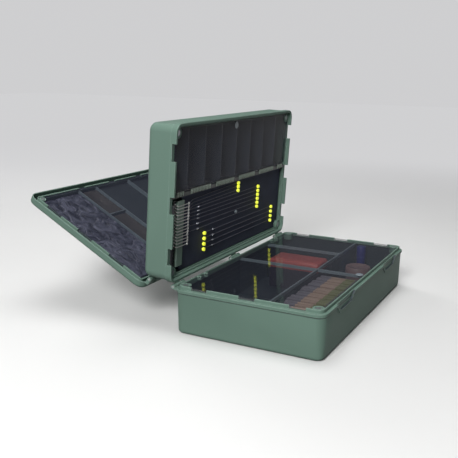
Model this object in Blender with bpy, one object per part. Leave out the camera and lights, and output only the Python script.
# Tackle box in three tiers: a deep base with a clear inner cover, a rig tray hinged on its rear
# rim, and a shallow lid hinged on the rig tray's back. It is modelled open, as it stands on a bench.
#
# X runs from the hinge side to the front, Y along the hinges, Z up, all in metres. The origin is the
# middle of the base's underside. Every piece is drawn where it lies in the shut box. The rig tray
# and the lid are then swung open by the empties on their hinge axes.
import math

import bmesh
import bpy
from mathutils import Matrix, Vector

for old in list(bpy.data.objects):
    bpy.data.objects.remove(old)

# Driving sizes of the whole box
box_width = 0.210
box_length = 0.3695
base_height = 0.0656
tray_depth = 0.0441
lid_depth = 0.0112
lid_overhang = 0.0105
corner_radius = 0.0127
tray_open = math.radians(86.8)
lid_open = math.radians(65.1)

# Clearances
gap = 0.0003
parting = 0.0004
overrun = 0.001
blend_in = 0.0003

# Rim of the base: a proud bead with a set-in wall above it
rim_height = 0.0047
bead_height = 0.0040
rim_inset = 0.0040
rim_wall = 0.0020
edge_break = 0.0005
ledge_drop = 0.0032
ledge_width = 0.0022
ledge_height = 0.0016
side_inset = 0.0014
side_draft = 0.0010

# Rim of the rig tray: a skirt that goes over the base's rim wall, in a proud band
skirt_wall = 0.0036
skirt_depth = 0.0050
band_depth = 0.0087
tray_draft = 0.0004
tray_notch_depth = 0.0060
tray_boss_drop = 0.0047

# Walls and roundings
base_wall = 0.0030
base_floor = 0.0036
base_round = 0.0050
tray_wall = 0.0022
tray_floor = 0.0018
tray_round = 0.0070
inside_round = 0.0020
corner_steps = 4
round_steps = 3

# Notches in the short sides' rims, which the cover's tabs hang in
notch_width = 0.0227
notch_pitch = 0.0682
notch_sill = 0.0002

# Finger recesses in the base's front, framed by the bead
recess_offset = 0.1027
recess_top = 0.0674
recess_bottom = 0.0419
recess_drop = 0.0107
recess_depth = 0.0012
recess_margin = 0.0002

# Corner bosses and their magnets
boss_radius = 0.0073
boss_length = 0.0100
magnet_radius = 0.0040
magnet_thickness = 0.0022
boss_sides = 16

# Hinges between the tiers
barrel_radius = 0.0030
pin_radius = 0.0015
knuckle_length = 0.0090
hinge_out = 0.0044
hinge_lift = 0.0001
lid_hinge_out = 0.0021
lid_hinge_drop = 0.0067
hinge_end = 0.0070
lug_bite = 0.0010
round_sides = 12

# Clear covers and their small hinges
cover_thickness = 0.0021
cover_drop = 0.0008
cover_axis_in = 0.0030
cover_barrel_radius = 0.0016
cover_barrel_length = 0.0140
stub_radius = 0.0009
stub_length = 0.0026
ear_thickness = 0.0030
ear_reach = 0.0022
ear_depth = 0.0034
cover_hinge_offset = 0.1200
ear_clearance = 0.0008
corner_play = 0.0009
stud_radius = 0.0052
stud_height = 0.0008
stud_round = 0.0003
stud_from_front = 0.0130
stud_from_middle = -0.0110

# Dividers of the base
divider_thickness = 0.0020
divider_drop = 0.0044
long_divider_from_rear = 0.1310
rear_divider_offset = 0.1010

# Rig tray: flap, hinge strip and pockets
flap_drop = 0.0054
flap_thickness = 0.0020
flap_rest = 0.0077
strip_from_rear = 0.1125
strip_width = 0.0062
strip_drop = 0.0057
strip_thickness = 0.0020
flap_barrel_radius = 0.0015
flap_pin_radius = 0.0007
tooth_group = 0.0557
tooth_gap = 0.0153
tooth_end_margin = 0.0140
tooth_pitch = 0.0070
tooth_width = 0.0035
tooth_height = 0.0010
pocket_wall_thickness = 0.0020
pocket_divider_thickness = 0.0015
pocket_count = 8

# Rig tray: foam board, hook rail, comb and what hangs on them
board_drop = 0.0110
board_thickness = 0.0080
board_margin = 0.0003
rail_from_near = 0.0215
rail_from_rear = 0.0178
rail_to_strip = 0.0055
rail_width = 0.0165
rail_drop = 0.0060
rail_thickness = 0.0030
rail_round = 0.0010
comb_drop = 0.0047
comb_thickness = 0.0022
comb_spine = 0.0040
comb_tooth_length = 0.0045
comb_pitch = 0.0043
comb_tooth_width = 0.0020
comb_count = 20
comb_from_rear = 0.0216
post_width = 0.0050
hook_count = 14
first_hook_gap = 5
hook_wire = 0.0009
hook_shank = 0.0220
hook_bend_radius = 0.0046
hook_point = 0.0050
hook_lift = 0.0011
line_width = 0.0008
line_lift = 0.0003
swivel_radius = 0.0012
swivel_length = 0.0085
pin_head_radius = 0.0027
pin_head_height = 0.0030
pin_neck_radius = 0.0006
pin_neck_height = 0.0014
board_stud_radius = 0.0026
board_stud_height = 0.0022
board_stud_from_rear = 0.0623
board_stud_from_middle = 0.0140

# Lid
lid_wall = 0.0018
lid_skin = 0.0015
lid_round = 0.0040
lid_rim_gap = 0.0064
lid_inner_wall = 0.0018
lid_inner_drop = 0.0010
lid_cover_drop = 0.0013
lid_cover_thickness = 0.0016
lid_groove_floor = 0.0030
lid_notch_width = 0.0276
lid_notch_pitch = 0.0601
lid_notch_shift = 0.0053
lid_front_tab_width = 0.0160
lid_front_tab_pitch = 0.0760
lid_boss_from_edge = 0.0150
lid_boss_radius = 0.0045
lid_magnet_radius = 0.0030
lid_magnet_thickness = 0.0016
lid_divider_thickness = 0.0015
lid_divider_shares = (0.27, 0.385, 0.62, 0.81)
lid_cross_share = 0.65

# Levels and edges that follow from the sizes, all in the shut box
rear = -box_width / 2
front = box_width / 2
near = -box_length / 2
far = box_length / 2
tray_rim = base_height - rim_height + parting
tray_back = tray_rim + tray_depth
lid_rim = tray_back + parting
lid_front = front + lid_overhang
tray_axis = Vector((rear - hinge_out, 0, tray_rim + hinge_lift))
lid_axis = Vector((rear - lid_hinge_out, 0, tray_back - lid_hinge_drop))
rim_inner = rim_inset + rim_wall
ledge_inner = rim_inner + ledge_width
cover_edge = rim_inner + gap

# Colours: name, red, green, blue, roughness, metallic
palette = {
    "green_plastic": (0.115, 0.190, 0.150, 0.55, 0.0),
    "smoked_plastic": (0.045, 0.050, 0.062, 0.12, 0.0),
    "clear_grey_plastic": (0.16, 0.18, 0.21, 0.25, 0.0),
    "black_plastic": (0.012, 0.013, 0.014, 0.45, 0.0),
    "grey_stud": (0.33, 0.36, 0.38, 0.40, 0.0),
    "foam": (0.030, 0.032, 0.042, 0.90, 0.0),
    "steel": (0.62, 0.62, 0.62, 0.30, 1.0),
    "magnet_metal": (0.45, 0.47, 0.50, 0.35, 1.0),
    "line": (0.035, 0.040, 0.040, 0.60, 0.0),
}


def material(name):
    """The named material, made on first use from the palette."""
    found = bpy.data.materials.get(name)
    if found:
        return found
    red, green, blue, roughness, metallic = palette[name]
    made = bpy.data.materials.new(name)
    made.use_nodes = True
    shader = made.node_tree.nodes["Principled BSDF"]
    shader.inputs["Base Color"].default_value = (red, green, blue, 1)
    shader.inputs["Roughness"].default_value = roughness
    shader.inputs["Metallic"].default_value = metallic
    return made


def empty_on_axis(name, place, above=None, angle=0.0):
    """An empty on a hinge axis. What hangs on it is drawn shut and swings open by the angle."""
    made = bpy.data.objects.new(name, None)
    bpy.context.scene.collection.objects.link(made)
    made["shut_place"] = list(place)
    if above:
        made.parent = above
        made.location = place - Vector(above["shut_place"])
    else:
        made.location = place
    made.rotation_euler = (0, -angle, 0)
    return made


def place_on(item, axis):
    """Hangs an object, drawn in the shut box's coordinates, on a hinge's empty."""
    if axis:
        item.parent = axis
        item.location = -Vector(axis["shut_place"])


def finish(name, mesh, colour, axis=None, tool=False):
    """Turns a bmesh into an object. A tool only cuts or joins, and isn't a piece of the box."""
    bmesh.ops.recalc_face_normals(mesh, faces=mesh.faces)
    data = bpy.data.meshes.new(name)
    mesh.to_mesh(data)
    mesh.free()
    made = bpy.data.objects.new(name, data)
    bpy.context.scene.collection.objects.link(made)
    if colour:
        data.materials.append(material(colour))
    if tool:
        made.hide_render = True
        made.display_type = "WIRE"
    else:
        data.shade_smooth()
        data.set_sharp_from_angle(angle=math.radians(35))
    place_on(made, axis)
    return made


def boolean(item, mesh, operation, title, axis=None):
    """Joins the mesh to the item, or cuts it out."""
    tool = finish(item.name + "_" + title, mesh, None, axis, tool=True)
    change = item.modifiers.new(title, "BOOLEAN")
    change.operation = operation
    change.solver = "EXACT"
    change.object = tool


def rounded(x_low, x_high, y_low, y_high, radius):
    """A rounded rectangle's points, counter-clockwise from the near rear corner."""
    points = []
    centres = [
        (x_low + radius, y_low + radius, 180),
        (x_high - radius, y_low + radius, 270),
        (x_high - radius, y_high - radius, 0),
        (x_low + radius, y_high - radius, 90),
    ]
    for x, y, start in centres:
        for step in range(corner_steps + 1):
            turn = math.radians(start + 90 * step / corner_steps)
            points.append((x + radius * math.cos(turn), y + radius * math.sin(turn)))
    return points


def quarter(inset, level, radius, inset_sign, level_sign, from_side):
    """Points of a profile's quarter round that ends or starts on the side wall."""
    points = []
    for step in range(round_steps + 1):
        turn = math.radians(90 * step / round_steps)
        points.append((
            inset + inset_sign * radius * (1 - math.cos(turn)),
            level + level_sign * radius * (1 - math.sin(turn)),
        ))
    return points if from_side else points[::-1]


def add_loops(mesh, loops):
    """A closed body through loops of points with equal counts, capped at both ends."""
    rows = [[mesh.verts.new(point) for point in loop] for loop in loops]
    for low, high in zip(rows, rows[1:]):
        count = len(low)
        for i in range(count):
            after = (i + 1) % count
            mesh.faces.new((low[i], low[after], high[after], high[i]))
    mesh.faces.new(rows[0][::-1])
    mesh.faces.new(rows[-1])


def add_tray(mesh, profile, x_high=front, level=1):
    """A tray whose wall follows a profile of (inset from the outline, level) points."""
    loops = []
    for inset, height in profile:
        radius = max(corner_radius - inset, inside_round)
        points = rounded(rear + inset, x_high - inset, near + inset, far - inset, radius)
        loops.append([(x, y, level * height) for x, y in points])
    add_loops(mesh, loops)


def add_prism(mesh, points, low, high, along="z"):
    """A polygon drawn in the two other axes and drawn out along one axis."""
    def lift(a, b, c):
        return {"z": (a, b, c), "y": (a, c, b), "x": (c, a, b)}[along]
    add_loops(mesh, [[lift(a, b, c) for a, b in points] for c in (low, high)])


def add_block(mesh, x_low, x_high, y_low, y_high, z_low, z_high):
    points = [(x_low, y_low), (x_high, y_low), (x_high, y_high), (x_low, y_high)]
    add_prism(mesh, points, z_low, z_high)


def add_turned(mesh, profile, centre, along="y", sides=round_sides):
    """A turned body: (place along the axis, radius) points about a centre in the other two axes."""
    loops = []
    for place, radius in profile:
        loop = []
        for side in range(sides):
            turn = 2 * math.pi * side / sides
            a = centre[0] + radius * math.cos(turn)
            b = centre[1] + radius * math.sin(turn)
            loop.append({"y": (a, place, b), "z": (a, b, place)}[along])
        loops.append(loop)
    add_loops(mesh, loops)


def add_rod(mesh, radius, low, high, centre, along="y", sides=round_sides):
    add_turned(mesh, [(low, radius), (high, radius)], centre, along, sides)


def add_tube(mesh, path, radius, sides=4):
    """A round wire along a path of points, with square ends."""
    loops = []
    points = [Vector(point) for point in path]
    for i, point in enumerate(points):
        ahead = (points[min(i + 1, len(points) - 1)] - points[max(i - 1, 0)]).normalized()
        across = ahead.cross(Vector((1, 0, 0)))
        if across.length < 0.5:
            across = ahead.cross(Vector((0, 0, 1)))
        across.normalize()
        upward = ahead.cross(across)
        loops.append([
            point + radius * (across * math.cos(turn) + upward * math.sin(turn))
            for turn in (2 * math.pi * side / sides for side in range(sides))
        ])
    add_loops(mesh, loops)


def corner_places(inset, x_high=front):
    """The four corners' centres, near rear first and counter-clockwise."""
    return [
        (rear + inset, near + inset),
        (x_high - inset, near + inset),
        (x_high - inset, far - inset),
        (rear + inset, far - inset),
    ]


def add_notches(mesh, middle, pitch, width, depth_in, low, high, outside):
    """Blocks that cut three notches in each short side's rim."""
    for step in (-1, 0, 1):
        x_low = middle + step * pitch - width / 2
        add_block(mesh, x_low, x_low + width, near + outside, near + depth_in, low, high)
        add_block(mesh, x_low, x_low + width, far - depth_in, far - outside, low, high)


def hinge_stations():
    """Where a hinge's three stations start along Y."""
    span = 3 * knuckle_length + 2 * parting
    return [near + hinge_end, -span / 2, far - hinge_end - span]


def knuckle_spans(own):
    """Knuckles of one leaf: the outer two of each station, or the middle one."""
    spans = []
    step = knuckle_length + parting
    for start in hinge_stations():
        for place in own:
            spans.append((start + place * step, start + place * step + knuckle_length))
    return spans


def add_knuckles(mesh, own, axis, lug):
    """Barrels on an axis, each with the lug that ties it to its tray, drawn in X and Z."""
    for low, high in knuckle_spans(own):
        ring = []
        for x, z in lug:
            ring.append((axis.x + x, axis.z + z))
        add_prism(mesh, ring, low, high, "y")


def barrel_arc(start, end):
    """Points round a barrel between two angles in degrees, about its axis."""
    steps = max(int(round_sides * abs(end - start) / 360), 1)
    points = []
    for step in range(steps + 1):
        turn = math.radians(start + (end - start) * step / steps)
        points.append((barrel_radius * math.cos(turn), barrel_radius * math.sin(turn)))
    return points


def hinge_pins(name, axis, hanger=None):
    """One steel pin through each station of a hinge."""
    span = 3 * knuckle_length + 2 * parting
    for number, start in enumerate(hinge_stations(), 1):
        mesh = bmesh.new()
        add_rod(mesh, pin_radius, start, start + span, (axis.x, axis.z))
        finish(f"{name}_{number}", mesh, "steel", hanger)


def cover_outline(x_low, x_high, y_low, y_high, corners, notches):
    """A clear cover's outline, counter-clockwise, cut round its corner bosses and hinge ears.

    Each corner is (centre x, centre y, radius, hollow). The notches are in the rear edge.
    """
    points = []
    edges = [x_low, y_low, x_high, y_high]
    for k, (x, y, radius, hollow) in enumerate(corners):
        if hollow:
            reaches = (x - x_low, y - y_low, x_high - x, y_high - y)
            first, last = (
                math.degrees(math.acos(min(reaches[(k + i) % 4] / radius, 1))) for i in (0, 1))
            turns = (180 - first, -90 + last)
        else:
            turns = (180, 270)
        for step in range(2 * corner_steps + 1):
            share = step / (2 * corner_steps)
            turn = math.radians(turns[0] + (turns[1] - turns[0]) * share + 90 * k)
            points.append((x + radius * math.cos(turn), y + radius * math.sin(turn)))
    for y_start, y_end, x_in in sorted(notches, reverse=True):
        points += [(edges[0], y_end), (x_in, y_end), (x_in, y_start), (edges[0], y_start)]
    return points


def ear_places():
    """Where the ears of a cover's two small hinges start and end along Y."""
    spans = []
    for side in (-1, 1):
        middle = side * cover_hinge_offset
        for end in (-1, 1):
            inner = middle + end * (cover_barrel_length / 2 + parting)
            outer = inner + end * ear_thickness
            spans.append((min(inner, outer), max(inner, outer)))
    return spans


def add_cover_barrels(mesh, x, z):
    """A cover's hinge barrels, with a stub at each end that turns in an ear."""
    half = cover_barrel_length / 2
    for side in (-1, 1):
        middle = side * cover_hinge_offset
        profile = [
            (middle - half - stub_length, stub_radius),
            (middle - half, stub_radius),
            (middle - half, cover_barrel_radius),
            (middle + half, cover_barrel_radius),
            (middle + half, stub_radius),
            (middle + half + stub_length, stub_radius),
        ]
        add_turned(mesh, profile, (x, z))


def ear_notches(x_axis):
    """The gaps in a cover's rear edge that its ears stand in."""
    notches = []
    for low, high in ear_places():
        notches.append((low - ear_clearance / 2, high + ear_clearance / 2,
                        x_axis + ear_reach + ear_clearance))
    return notches


def add_stud(mesh, x, y, seat, height, radius=stud_radius):
    """A round finger stud. A negative height hangs it below its seat."""
    sign = 1 if height > 0 else -1
    profile = [
        (seat, radius),
        (seat + height - sign * stud_round, radius),
        (seat + height, radius - stud_round),
    ]
    add_turned(mesh, profile, (x, y), "z")


# Hinge axes
tray_hinge = empty_on_axis("tray_hinge_axis", tray_axis, None, tray_open)
lid_hinge = empty_on_axis("lid_hinge_axis", lid_axis, tray_hinge, lid_open)
cover_axis_x = rear + rim_inner + cover_axis_in
cover_axis_z = base_height - cover_drop - cover_thickness / 2
cover_hinge = empty_on_axis("base_cover_axis", Vector((cover_axis_x, 0, cover_axis_z)))
flap_axis_x = rear + strip_from_rear + strip_width + flap_barrel_radius - blend_in
flap_axis_z = tray_rim + flap_drop + flap_thickness / 2
flap_hinge = empty_on_axis("rig_flap_axis", Vector((flap_axis_x, 0, flap_axis_z)), tray_hinge)
lid_inner = lid_wall + lid_rim_gap
lid_cover_axis_x = rear + lid_inner + lid_inner_wall + cover_axis_in
lid_cover_axis_z = lid_rim + lid_cover_drop + lid_cover_thickness / 2
lid_cover_hinge = empty_on_axis(
    "lid_cover_axis", Vector((lid_cover_axis_x, 0, lid_cover_axis_z)), lid_hinge)


def base_tray():
    """The deep green base, with its rim, bosses, hinge knuckles, cover ears and finger recesses."""
    def at(drop):
        return base_height - drop

    profile = quarter(side_inset + side_draft, 0, base_round, 1, 1, False)
    profile += [
        (side_inset, at(rim_height + bead_height + edge_break)),
        (0, at(rim_height + bead_height)),
        (0, at(rim_height + edge_break)),
        (edge_break, at(rim_height)),
        (rim_inset, at(rim_height)),
        (rim_inset, at(edge_break)),
        (rim_inset + edge_break, at(0)),
        (rim_inner - edge_break, at(0)),
        (rim_inner, at(edge_break)),
    ]
    inner_top = side_inset + base_wall
    inner_low = inner_top + side_draft
    under_ledge = ledge_drop + ledge_height
    profile += [
        (rim_inner, at(ledge_drop)),
        (ledge_inner, at(ledge_drop)),
        (ledge_inner, at(under_ledge)),
        (inner_top, at(under_ledge + ledge_inner - inner_top)),
    ]
    profile += quarter(inner_low, base_floor, inside_round, 1, 1, True)
    mesh = bmesh.new()
    add_tray(mesh, profile)
    tray = finish("base_tray", mesh, "green_plastic")

    cuts = bmesh.new()
    add_notches(cuts, 0, notch_pitch, notch_width, ledge_inner + overrun,
                at(rim_height - notch_sill), at(-overrun), -overrun)
    channel_end = far - corner_radius
    add_block(cuts, rear + rim_inner, cover_axis_x + gap, -channel_end, channel_end,
              at(under_ledge + ledge_inner), at(-overrun))
    slope = (recess_top - recess_bottom) / 2 / recess_drop
    for side in (-1, 1):
        middle = side * recess_offset
        half_low = recess_bottom / 2 + recess_margin
        half_high = recess_top / 2 + recess_margin + slope * edge_break
        points = [
            (middle - half_low, at(rim_height + recess_drop + recess_margin)),
            (middle + half_low, at(rim_height + recess_drop + recess_margin)),
            (middle + half_high, at(rim_height - edge_break)),
            (middle - half_high, at(rim_height - edge_break)),
        ]
        add_prism(cuts, points, front - side_inset - recess_depth, front + overrun, "x")
    boolean(tray, cuts, "DIFFERENCE", "cuts")

    added = bmesh.new()
    for x, y in corner_places(corner_radius):
        add_rod(added, boss_radius, at(boss_length), at(gap), (x, y), "z", boss_sides)
    for low, high in ear_places():
        add_block(added, rear + rim_inner - blend_in, cover_axis_x + ear_reach, low, high,
                  cover_axis_z - ear_depth, at(gap))
    bead_top = base_height - rim_height - tray_axis.z - edge_break / 2
    bead_low = base_height - rim_height - bead_height - tray_axis.z + edge_break / 2
    lug = barrel_arc(-15, 270)
    lug += [(hinge_out + lug_bite, bead_low), (hinge_out + lug_bite, bead_top)]
    add_knuckles(added, (0, 2), tray_axis, lug)
    spread = bead_height * math.hypot(1, slope)
    for side in (-1, 1):
        middle = side * recess_offset
        inner_top_half = recess_top / 2
        inner_low_half = recess_bottom / 2
        drop = rim_height + recess_drop
        outer_low_half = inner_low_half - slope * bead_height + spread
        points = [
            (middle - inner_top_half - spread, at(rim_height + blend_in)),
            (middle - outer_low_half, at(drop + bead_height)),
            (middle + outer_low_half, at(drop + bead_height)),
            (middle + inner_top_half + spread, at(rim_height + blend_in)),
            (middle + inner_top_half, at(rim_height + blend_in)),
            (middle + inner_low_half, at(drop)),
            (middle - inner_low_half, at(drop)),
            (middle - inner_top_half, at(rim_height + blend_in)),
        ]
        add_prism(added, points, front - side_inset - recess_depth - blend_in,
                  front - edge_break / 2, "x")
    boolean(tray, added, "UNION", "additions")

    bores = bmesh.new()
    for x, y in corner_places(corner_radius):
        add_rod(bores, magnet_radius + gap, at(gap + magnet_thickness + gap), at(-overrun),
                (x, y), "z", boss_sides)
    for low, high in ear_places():
        add_rod(bores, stub_radius + gap, low - overrun / 2, high + overrun / 2,
                (cover_axis_x, cover_axis_z))
    for start in hinge_stations():
        span = 3 * knuckle_length + 2 * parting
        add_rod(bores, pin_radius + gap, start - overrun, start + span + overrun,
                (tray_axis.x, tray_axis.z))
    boolean(tray, bores, "DIFFERENCE", "bores")


def wall_end(at, up, wall, draft, floor_level, fillet, ledge_at, top):
    """A divider's end along the inside of a tray, as (inset, level) points from its foot up."""
    inner_top = side_inset + wall
    inner_low = inner_top + draft
    under_ledge = ledge_at + ledge_height
    return [
        (inner_low + fillet + gap, floor_level + up * gap),
        (inner_low + gap, floor_level + up * (gap + fillet)),
        (inner_top + gap, at(under_ledge + ledge_inner - inner_top + gap)),
        (ledge_inner + gap, at(under_ledge + gap)),
        (ledge_inner + gap, top),
    ]


def divider(name, along, place, low_end, high_end, thickness=divider_thickness):
    """A thin wall between compartments. Its ends are outlines, each from the foot up."""
    mesh = bmesh.new()
    points = low_end + high_end[::-1]
    add_prism(mesh, points, place - thickness / 2, place + thickness / 2, along)
    return finish(name, mesh, "clear_grey_plastic")


def base_dividers():
    """A long divider and three cross dividers, standing loose between the base's walls."""
    top = base_height - divider_drop
    end = wall_end(lambda drop: base_height - drop, 1, base_wall, side_draft, base_floor,
                   inside_round, ledge_drop, top)
    long_x = rear + long_divider_from_rear
    reach = divider_thickness / 2 + gap
    foot = base_floor + gap
    divider("base_long_divider", "x", long_x, [(near + inset, level) for inset, level in end],
            [(far - inset, level) for inset, level in end])
    rear_end = [(rear + inset, level) for inset, level in end]
    front_end = [(front - inset, level) for inset, level in end]
    for number, offset in enumerate((0, rear_divider_offset), 1):
        divider(f"base_rear_divider_{number}", "y", offset, rear_end,
                [(long_x - reach, foot), (long_x - reach, top)])
    divider("base_front_divider", "y", 0,
            [(long_x + reach, foot), (long_x + reach, top)], front_end)


def base_cover():
    """The smoked clear cover of the base, with its hinge barrels and the tabs in the notches."""
    z_high = base_height - cover_drop
    z_low = z_high - cover_thickness
    corners = []
    for x, y in corner_places(corner_radius):
        play = corner_play if x < 0 else 0
        corners.append((x, y, boss_radius + parting + play, True))
    x_low = cover_axis_x - cover_barrel_radius + blend_in
    outline = cover_outline(x_low, front - cover_edge, near + cover_edge, far - cover_edge,
                            corners, ear_notches(cover_axis_x))
    mesh = bmesh.new()
    add_prism(mesh, outline, z_low, z_high)
    cover = finish("base_cover", mesh, "smoked_plastic", cover_hinge)
    added = bmesh.new()
    add_cover_barrels(added, cover_axis_x, cover_axis_z)
    tab_low = base_height - rim_height + notch_sill + parting
    tab_half = notch_width / 2 - parting
    for step in (-1, 0, 1):
        for side in (-1, 1):
            outer = side * (far - rim_inset - gap)
            inner = side * (far - rim_inner - edge_break)
            add_block(added, step * notch_pitch - tab_half, step * notch_pitch + tab_half,
                      min(outer, inner), max(outer, inner), tab_low, z_high - blend_in)
    boolean(cover, added, "UNION", "additions", cover_hinge)
    stud = bmesh.new()
    add_stud(stud, front - stud_from_front, stud_from_middle, z_high + gap, stud_height - gap)
    finish("base_cover_stud", stud, "grey_stud", cover_hinge)


def magnets(name, places, level, thickness, radius, axis=None):
    for number, place in enumerate(places, 1):
        mesh = bmesh.new()
        add_rod(mesh, radius, level, level + thickness, place, "z")
        finish(f"{name}_{number}", mesh, "magnet_metal", axis)


def rig_tray():
    """The green rig tray: a rim like the base's, bosses, posts and the knuckles of both hinges."""
    def at(drop):
        return tray_rim + drop

    inner_top = side_inset + tray_wall
    under_ledge = flap_rest + ledge_height
    profile = quarter(side_inset + tray_draft, tray_back, tray_round, 1, -1, False)
    profile += [
        (side_inset, at(band_depth + edge_break)),
        (0, at(band_depth)),
        (0, at(edge_break)),
        (edge_break, at(0)),
        (skirt_wall - edge_break / 2, at(0)),
        (skirt_wall, at(edge_break / 2)),
        (skirt_wall, at(skirt_depth)),
        (rim_inner, at(skirt_depth)),
        (rim_inner, at(flap_rest)),
        (ledge_inner, at(flap_rest)),
        (ledge_inner, at(under_ledge)),
        (inner_top, at(under_ledge + ledge_inner - inner_top)),
    ]
    profile += quarter(inner_top + tray_draft, tray_back - tray_floor, tray_round - tray_floor,
                       1, -1, True)
    mesh = bmesh.new()
    add_tray(mesh, profile)
    tray = finish("rig_tray", mesh, "green_plastic", tray_hinge)

    cuts = bmesh.new()
    add_notches(cuts, 0, notch_pitch, notch_width, rim_inner + overrun,
                at(-overrun), at(tray_notch_depth), -overrun)
    boolean(tray, cuts, "DIFFERENCE", "cuts", tray_hinge)

    added = bmesh.new()
    for x, y in corner_places(corner_radius):
        add_rod(added, boss_radius, at(tray_boss_drop), at(boss_length), (x, y), "z", boss_sides)
    skirt_low = tray_rim + edge_break - tray_axis.z
    lug = barrel_arc(15, -270)
    lug += [(hinge_out + lug_bite, skirt_low + bead_height), (hinge_out + lug_bite, skirt_low)]
    add_knuckles(added, (1,), tray_axis, lug)
    lug = barrel_arc(90, 270)
    inward = lid_hinge_out + side_inset + tray_wall - edge_break
    lug += [(inward, -barrel_radius), (inward, barrel_radius)]
    add_knuckles(added, (1,), lid_axis, lug)
    for x, y, level in post_places():
        add_block(added, x - post_width / 2, x + post_width / 2, y - post_width / 2,
                  y + post_width / 2, level, tray_back - tray_floor + blend_in)
    boolean(tray, added, "UNION", "additions", tray_hinge)

    bores = bmesh.new()
    for x, y in corner_places(corner_radius):
        add_rod(bores, magnet_radius + gap, at(tray_boss_drop - overrun),
                at(tray_boss_drop + magnet_thickness + gap), (x, y), "z", boss_sides)
    span = 3 * knuckle_length + 2 * parting
    for start in hinge_stations():
        for axis in (tray_axis, lid_axis):
            add_rod(bores, pin_radius + gap, start - overrun, start + span + overrun,
                    (axis.x, axis.z))
    boolean(tray, bores, "DIFFERENCE", "bores", tray_hinge)


board_low = rear + ledge_inner + board_margin
board_high = rear + strip_from_rear + pocket_wall_thickness / 2 - board_margin
board_near = near + rail_from_near + rail_width + board_margin
board_far = far - ledge_inner - board_margin
rail_low = rear + rail_from_rear
rail_high = rear + strip_from_rear - rail_to_strip


def post_places():
    """Posts on the tray's back that carry the foam board and the hook rail."""
    under_board = tray_rim + board_drop + board_thickness + gap
    under_rail = tray_rim + rail_drop + rail_thickness + gap
    places = []
    for x in (board_low + post_width, board_high - post_width):
        for y in (board_near + post_width, 0, board_far - post_width):
            places.append((x, y, under_board))
    for x in (rail_low + post_width, rail_high - post_width):
        places.append((x, near + rail_from_near + rail_width / 2 + post_width / 2, under_rail))
    return places


def pockets():
    """The insert behind the flap: a wall with dividers that make a row of pockets."""
    top = tray_rim + flap_rest + gap
    end = wall_end(lambda drop: tray_rim + drop, -1, tray_wall, tray_draft,
                   tray_back - tray_floor, tray_round - tray_floor, flap_rest, top)
    wall_low = rear + strip_from_rear + pocket_wall_thickness / 2
    wall_high = wall_low + pocket_wall_thickness
    mesh = bmesh.new()
    points = [(near + inset, level) for inset, level in end]
    points += [(far - inset, level) for inset, level in reversed(end)]
    add_prism(mesh, points, wall_low, wall_high, "x")
    insert = finish("pocket_insert", mesh, "black_plastic", tray_hinge)
    added = bmesh.new()
    half = pocket_divider_thickness / 2
    start = wall_high - blend_in
    points = [(start, end[0][1] - blend_in), (start, top + blend_in)]
    points += [(front - inset, level) for inset, level in reversed(end[:-1])]
    points[2] = (points[2][0], max(points[2][1], top + blend_in))
    for number in range(1, pocket_count):
        y = near + number * box_length / pocket_count
        add_prism(added, points, y - half, y + half, "y")
    boolean(insert, added, "UNION", "dividers", tray_hinge)


def tooth_spans():
    """The groups of teeth along the hinge strip, which are also its knuckles."""
    edges = [tooth_gap / 2, tooth_gap * 3 / 2 + tooth_group, tooth_gap * 5 / 2 + 2 * tooth_group]
    spans = []
    for start in edges:
        end = min(start + tooth_group, far - tooth_end_margin)
        spans.append((start, end))
        spans.append((-end, -start))
    return sorted(spans)


def flap_strip():
    """The black strip that the flap hinges on, with its knuckles and groups of short teeth."""
    z_low = tray_rim + strip_drop
    z_high = z_low + strip_thickness
    x_low = rear + strip_from_rear
    x_high = x_low + strip_width - gap
    mesh = bmesh.new()
    add_block(mesh, x_low, x_high - flap_barrel_radius / 2, near + rim_inner + gap,
              far - rim_inner - gap, z_low, z_high)
    strip = finish("flap_hinge_strip", mesh, "black_plastic", tray_hinge)
    added = bmesh.new()
    for low, high in tooth_spans():
        middle = x_low + strip_width / 2
        points = [(middle, z_high - edge_break), (middle, z_low + edge_break)]
        for step in range(round_sides // 2 + 1):
            turn = -math.pi / 2 + math.pi * step / (round_sides // 2)
            points.append((flap_axis_x + flap_barrel_radius * math.cos(turn),
                           flap_axis_z + flap_barrel_radius * math.sin(turn)))
        add_prism(added, points, low, high, "y")
    for low, high in tooth_spans():
        count = int((high - low) / tooth_pitch)
        start = (low + high - count * tooth_pitch) / 2
        for step in range(count):
            y = start + (step + 0.5) * tooth_pitch
            add_block(added, x_low + edge_break, x_low + strip_width / 2 - edge_break,
                      y - tooth_width / 2, y + tooth_width / 2, z_low - tooth_height,
                      z_low + blend_in)
    boolean(strip, added, "UNION", "additions", tray_hinge)
    bores = bmesh.new()
    add_rod(bores, flap_pin_radius + gap, near, far, (flap_axis_x, flap_axis_z), sides=8)
    boolean(strip, bores, "DIFFERENCE", "bores", tray_hinge)
    pin = bmesh.new()
    end = tooth_spans()[-1][1]
    add_rod(pin, flap_pin_radius, -end, end, (flap_axis_x, flap_axis_z), sides=8)
    finish("flap_hinge_pin", pin, "steel", tray_hinge)


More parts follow.
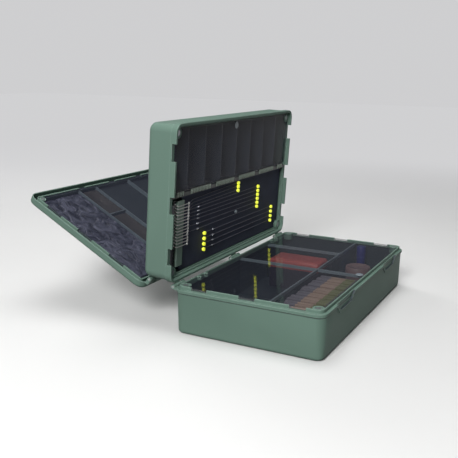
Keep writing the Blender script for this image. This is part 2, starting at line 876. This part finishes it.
def rig_flap():
    """The smoked flap over the pockets, with its knuckles between the strip's and its stud."""
    z_low = tray_rim + flap_drop
    z_high = z_low + flap_thickness
    x_low = flap_axis_x + flap_barrel_radius + gap
    hollow = boss_radius + parting
    corner = corner_radius
    plain = inside_round
    x_high = front - cover_edge
    y_low = near + cover_edge
    y_high = far - cover_edge
    corners = [
        (x_low + plain, y_low + plain, plain, False),
        (front - corner, near + corner, hollow, True),
        (front - corner, far - corner, hollow, True),
        (x_low + plain, y_high - plain, plain, False),
    ]
    mesh = bmesh.new()
    add_prism(mesh, cover_outline(x_low, x_high, y_low, y_high, corners, []), z_low, z_high)
    flap = finish("rig_flap", mesh, "smoked_plastic", flap_hinge)
    added = bmesh.new()
    spans = tooth_spans()
    for (_, low), (high, _) in zip(spans, spans[1:]):
        points = []
        for step in range(round_sides // 2 + 1):
            turn = math.pi / 2 + math.pi * step / (round_sides // 2)
            points.append((flap_axis_x + flap_barrel_radius * math.cos(turn),
                           flap_axis_z + flap_barrel_radius * math.sin(turn)))
        arm = flap_thickness / 2 - blend_in / 2
        points += [(x_low + edge_break, flap_axis_z - arm), (x_low + edge_break, flap_axis_z + arm)]
        add_prism(added, points, low + parting, high - parting, "y")
    boolean(flap, added, "UNION", "additions", flap_hinge)
    bores = bmesh.new()
    add_rod(bores, flap_pin_radius + gap, near, far, (flap_axis_x, flap_axis_z), sides=8)
    boolean(flap, bores, "DIFFERENCE", "bores", flap_hinge)
    stud = bmesh.new()
    add_stud(stud, front - stud_from_front, stud_from_middle, z_low - gap, gap - stud_height)
    finish("flap_stud", stud, "grey_stud", flap_hinge)


def rig_board():
    """The foam board with its grey stud."""
    z_low = tray_rim + board_drop
    mesh = bmesh.new()
    points = rounded(board_low, board_high, board_near, board_far, inside_round)
    add_prism(mesh, points, z_low, z_low + board_thickness)
    finish("rig_board", mesh, "foam", tray_hinge)
    stud = bmesh.new()
    add_stud(stud, rear + board_stud_from_rear, board_stud_from_middle, z_low - gap, -board_stud_height,
             board_stud_radius)
    finish("board_stud", stud, "grey_stud", tray_hinge)


def hook_rail():
    """The green rail that the hooks hang over, beside the board's near end."""
    z_low = tray_rim + rail_drop
    z_high = z_low + rail_thickness
    y_low = near + rail_from_near
    y_high = y_low + rail_width
    points = [
        (y_low, z_low + rail_round), (y_low + rail_round, z_low), (y_high - rail_round, z_low),
        (y_high, z_low + rail_round), (y_high, z_high), (y_low, z_high),
    ]
    mesh = bmesh.new()
    add_prism(mesh, points, rail_low, rail_high, "x")
    finish("hook_rail", mesh, "green_plastic", tray_hinge)


def comb_gap(number):
    """The middle of the numbered gap between the comb's teeth, counted from the hinge side."""
    return rear + comb_from_rear + (number + 0.5) * comb_pitch


def hook_comb():
    """The black comb on the near ledge, whose teeth keep the hooks apart."""
    z_low = tray_rim + comb_drop
    y_back = near + rim_inner + gap
    y_spine = y_back + comb_spine
    y_tip = y_spine + comb_tooth_length
    start = rear + comb_from_rear
    half = comb_tooth_width / 2
    points = [(start - half, y_back), (start + (comb_count - 1) * comb_pitch + half, y_back)]
    for number in range(comb_count - 1, -1, -1):
        x = start + number * comb_pitch
        points += [(x + half, y_spine), (x + half / 2, y_tip), (x - half / 2, y_tip),
                   (x - half, y_spine)]
    mesh = bmesh.new()
    add_prism(mesh, points, z_low, z_low + comb_thickness)
    finish("hook_comb", mesh, "black_plastic", tray_hinge)


# Rigs on the board, by column: pins start at a height above the hinge side and step up by a pitch.
# An upper row is its pin's height and the number of its comb gap.
upper_rows = ((0.0960, 16), (0.1020, 17), (0.1075, 18))
middle_first = 0.0590
middle_pitch = 0.0066
middle_gaps = (8, 10, 12, 13, 14, 15)
lower_first = 0.0250
lower_pitch = 0.0079
lower_count = 4
upper_pin_along = 0.1980
middle_pin_along = 0.2700
lower_pin_along = 0.3280
lower_start_along = 0.0995
middle_swivel_along = 0.0810
lower_swivel_along = 0.1275


def rig_rows():
    """Each rig as (start point, swivel's middle or None, pin's place), in X and Y."""
    rows = []
    eye = near + rail_from_near + hook_shank - hook_wire
    for height, number in upper_rows:
        rows.append(((comb_gap(number), eye), None, (rear + height, near + upper_pin_along)))
    for step, number in enumerate(middle_gaps):
        x = rear + middle_first + step * middle_pitch
        swivel = (x - (x - comb_gap(number)) / 2, near + middle_swivel_along)
        rows.append(((comb_gap(number), eye), swivel, (x, near + middle_pin_along)))
    for step in range(lower_count):
        x = rear + lower_first + step * lower_pitch
        start = (x, near + lower_start_along)
        swivel = (x, near + lower_swivel_along)
        rows.append((start, swivel, (x, near + lower_pin_along)))
    return rows


line_level = tray_rim + board_drop - line_lift - line_width / 2
swivel_level = tray_rim + board_drop - line_lift - swivel_radius
shank_level = tray_rim + rail_drop - hook_lift


def add_hook(mesh, number):
    """A hook over the rail: its shank lies across it and its bend wraps the near edge."""
    x = comb_gap(number)
    y_bend = near + rail_from_near + edge_break
    path = [(x, near + rail_from_near + hook_shank, shank_level)]
    for step in range(corner_steps + 1):
        turn = math.pi * step / corner_steps
        path.append((x, y_bend - hook_bend_radius * math.sin(turn),
                     shank_level + hook_bend_radius * (1 - math.cos(turn))))
    path.append((x, y_bend + hook_point, path[-1][2] - hook_wire))
    add_tube(mesh, path, hook_wire / 2)


def add_pin(mesh, place):
    """A round-headed pin whose neck goes into the foam."""
    face = tray_rim + board_drop
    neck_top = face - gap - pin_neck_height
    add_turned(mesh, [
        (face - gap, pin_neck_radius),
        (neck_top, pin_neck_radius),
        (neck_top - edge_break, pin_head_radius),
        (neck_top - pin_head_height + edge_break, pin_head_radius),
        (neck_top - pin_head_height, pin_head_radius - 2 * edge_break),
    ], place, "z", 8)


def rigs():
    """Rigs laid out on the board: hook, line, swivel and pin, and hooks kept without a line."""
    used = set()
    for count, (start, swivel, pin) in enumerate(rig_rows(), 1):
        hooked = start[1] < board_near + hook_shank / 2
        path = [(start[0], start[1], shank_level if hooked else line_level)]
        if hooked:
            settle = swivel_length if swivel else hook_shank
            path.append((start[0] + (pin[0] - start[0]) / 4, start[1] + settle, line_level))
        if swivel:
            path.append((swivel[0], swivel[1], swivel_level))
        path.append((pin[0], pin[1], line_level))
        mesh = bmesh.new()
        add_tube(mesh, path, line_width / 2, 5)
        rig = finish(f"rig_{count}", mesh, "line", tray_hinge)
        added = bmesh.new()
        add_pin(added, pin)
        if swivel:
            half = swivel_length / 2
            add_turned(added, [
                (swivel[1] - half, swivel_radius / 2),
                (swivel[1] - half / 2, swivel_radius),
                (swivel[1] + half / 2, swivel_radius),
                (swivel[1] + half, swivel_radius / 2),
            ], (swivel[0], swivel_level), "y", 6)
        if not hooked:
            add_pin(added, start)
        boolean(rig, added, "UNION", "fittings", tray_hinge)
        if hooked:
            number = round((start[0] - comb_gap(0)) / comb_pitch)
            used.add(number)
            hook = bmesh.new()
            add_hook(hook, number)
            boolean(rig, hook, "UNION", "hook", tray_hinge)
    free = [number for number in range(first_hook_gap, first_hook_gap + hook_count)
            if number not in used]
    for count, number in enumerate(free, 1):
        mesh = bmesh.new()
        add_hook(mesh, number)
        finish(f"spare_hook_{count}", mesh, "steel", tray_hinge)


lid_inner_top = lid_rim + lid_inner_drop
lid_floor = lid_rim + lid_depth - lid_skin
lid_ledge = lid_rim + lid_cover_drop + lid_cover_thickness + gap
lid_pocket = lid_inner + lid_inner_wall
lid_ledge_inner = lid_pocket + ledge_width


def lid_tray():
    """The shallow green lid: a skirt, a groove, and a low inner wall round its compartments."""
    profile = quarter(0, lid_rim + lid_depth, lid_round, 1, -1, False)
    profile += [
        (0, lid_rim + edge_break),
        (edge_break, lid_rim),
        (lid_wall - edge_break, lid_rim),
        (lid_wall, lid_rim + edge_break),
        (lid_wall, lid_rim + lid_depth - lid_groove_floor),
        (lid_inner, lid_rim + lid_depth - lid_groove_floor),
        (lid_inner, lid_inner_top),
        (lid_pocket, lid_inner_top),
        (lid_pocket, lid_ledge),
        (lid_ledge_inner, lid_ledge),
        (lid_ledge_inner, lid_ledge + ledge_height),
        (lid_pocket, lid_ledge + ledge_height + ledge_width),
        (lid_pocket, lid_floor),
    ]
    mesh = bmesh.new()
    add_tray(mesh, profile, lid_front)
    lid = finish("lid_tray", mesh, "green_plastic", lid_hinge)

    cuts = bmesh.new()
    notch_floor = lid_ledge + ledge_height / 2
    middle = (rear + lid_front) / 2 + lid_notch_shift
    add_notches(cuts, middle, lid_notch_pitch, lid_notch_width, lid_pocket + ledge_width / 2,
                lid_rim - overrun, notch_floor, lid_wall + edge_break)
    channel_end = far - lid_pocket
    add_block(cuts, rear + lid_pocket, lid_cover_axis_x + gap, -channel_end, channel_end,
              lid_rim - overrun, lid_floor - edge_break)
    for step in (-1, 0, 1):
        y = step * lid_front_tab_pitch
        add_block(cuts, lid_front - lid_pocket - ledge_width / 2, lid_front - lid_wall - edge_break,
                  y - lid_front_tab_width / 2, y + lid_front_tab_width / 2, lid_rim - overrun,
                  notch_floor)
    boolean(lid, cuts, "DIFFERENCE", "cuts", lid_hinge)

    added = bmesh.new()
    for x, y in lid_boss_places():
        add_rod(added, lid_boss_radius, lid_inner_top - edge_break / 2, lid_floor + blend_in,
                (x, y), "z")
    for low, high in ear_places():
        add_block(added, rear + lid_pocket - blend_in, lid_cover_axis_x + ear_reach, low, high,
                  lid_cover_axis_z - cover_barrel_radius, lid_floor + blend_in)
    reach = lid_rim + lug_bite - lid_axis.z
    lug = barrel_arc(180, 360)
    lug += [(lid_hinge_out + lug_bite, reach), (lid_hinge_out - barrel_radius, reach)]
    add_knuckles(added, (0, 2), lid_axis, lug)
    boolean(lid, added, "UNION", "additions", lid_hinge)

    bores = bmesh.new()
    for x, y in lid_boss_places():
        add_rod(bores, lid_magnet_radius + gap, lid_rim - overrun,
                lid_inner_top + lid_magnet_thickness + gap, (x, y), "z")
    for low, high in ear_places():
        add_rod(bores, stub_radius + gap, low - overrun / 2, high + overrun / 2,
                (lid_cover_axis_x, lid_cover_axis_z))
    span = 3 * knuckle_length + 2 * parting
    for start in hinge_stations():
        add_rod(bores, pin_radius + gap, start - overrun, start + span + overrun,
                (lid_axis.x, lid_axis.z))
    boolean(lid, bores, "DIFFERENCE", "bores", lid_hinge)


def lid_boss_places():
    x = lid_front - lid_boss_from_edge
    return [(x, near + lid_boss_from_edge), (x, far - lid_boss_from_edge)]


def lid_dividers():
    """Long dividers across the lid, and a short one between the first two."""
    edge = lid_divider_thickness / 2
    foot = lid_floor - gap
    top = lid_ledge + gap
    low = lid_cover_axis_x + ear_reach + gap
    high = lid_front - lid_ledge_inner - gap
    places = [near + share * box_length for share in lid_divider_shares]
    for number, y in enumerate(places, 1):
        mesh = bmesh.new()
        add_block(mesh, low, high, y - edge, y + edge, top, foot)
        finish(f"lid_divider_{number}", mesh, "clear_grey_plastic", lid_hinge)
    x = rear + lid_cross_share * (lid_front - rear)
    mesh = bmesh.new()
    add_block(mesh, x - edge, x + edge, places[0] + edge + gap, places[1] - edge - gap, top, foot)
    finish("lid_cross_divider", mesh, "clear_grey_plastic", lid_hinge)


def lid_cover():
    """The smoked cover inside the lid, with tabs on three sides."""
    z_low = lid_rim + lid_cover_drop
    z_high = z_low + lid_cover_thickness
    edge = lid_pocket + gap
    x_low = lid_cover_axis_x - cover_barrel_radius + blend_in
    plain = inside_round
    hollow = lid_boss_radius + parting
    boss_x, boss_near = lid_boss_places()[0]
    corners = [
        (x_low + plain, near + edge + plain, plain, False),
        (boss_x, boss_near, hollow, boss_x + hollow > lid_front - edge),
        (boss_x, -boss_near, hollow, boss_x + hollow > lid_front - edge),
        (x_low + plain, far - edge - plain, plain, False),
    ]
    outline = cover_outline(x_low, lid_front - edge, near + edge, far - edge, corners,
                            ear_notches(lid_cover_axis_x))
    mesh = bmesh.new()
    add_prism(mesh, outline, z_low, z_high)
    cover = finish("lid_cover", mesh, "smoked_plastic", lid_cover_hinge)
    added = bmesh.new()
    add_cover_barrels(added, lid_cover_axis_x, lid_cover_axis_z)
    tab_high = lid_ledge + ledge_height / 2 - parting
    middle = (rear + lid_front) / 2 + lid_notch_shift
    tab_half = lid_notch_width / 2 - parting
    outer = lid_inner + gap
    inner = lid_pocket + edge_break
    for step in (-1, 0, 1):
        x = middle + step * lid_notch_pitch
        for side in (-1, 1):
            y_out = side * (far - outer)
            y_in = side * (far - inner)
            add_block(added, x - tab_half, x + tab_half, min(y_out, y_in), max(y_out, y_in),
                      z_low + blend_in, tab_high)
        y = step * lid_front_tab_pitch
        half = lid_front_tab_width / 2 - parting
        add_block(added, lid_front - inner, lid_front - outer, y - half, y + half,
                  z_low + blend_in, tab_high)
    boolean(cover, added, "UNION", "additions", lid_cover_hinge)


base_tray()
base_dividers()
base_cover()
magnets("base_magnet", corner_places(corner_radius), base_height - 2 * gap - magnet_thickness,
        magnet_thickness, magnet_radius)
hinge_pins("tray_hinge_pin", tray_axis)
rig_tray()
magnets("rig_tray_magnet", corner_places(corner_radius), tray_rim + tray_boss_drop + gap / 2,
        magnet_thickness, magnet_radius, tray_hinge)
pockets()
flap_strip()
rig_flap()
rig_board()
hook_rail()
hook_comb()
rigs()
hinge_pins("lid_hinge_pin", lid_axis, tray_hinge)
lid_tray()
lid_dividers()
lid_cover()
magnets("lid_magnet", lid_boss_places(), lid_inner_top + gap, lid_magnet_thickness - gap,
        lid_magnet_radius, lid_hinge)
bpy.context.view_layer.update()
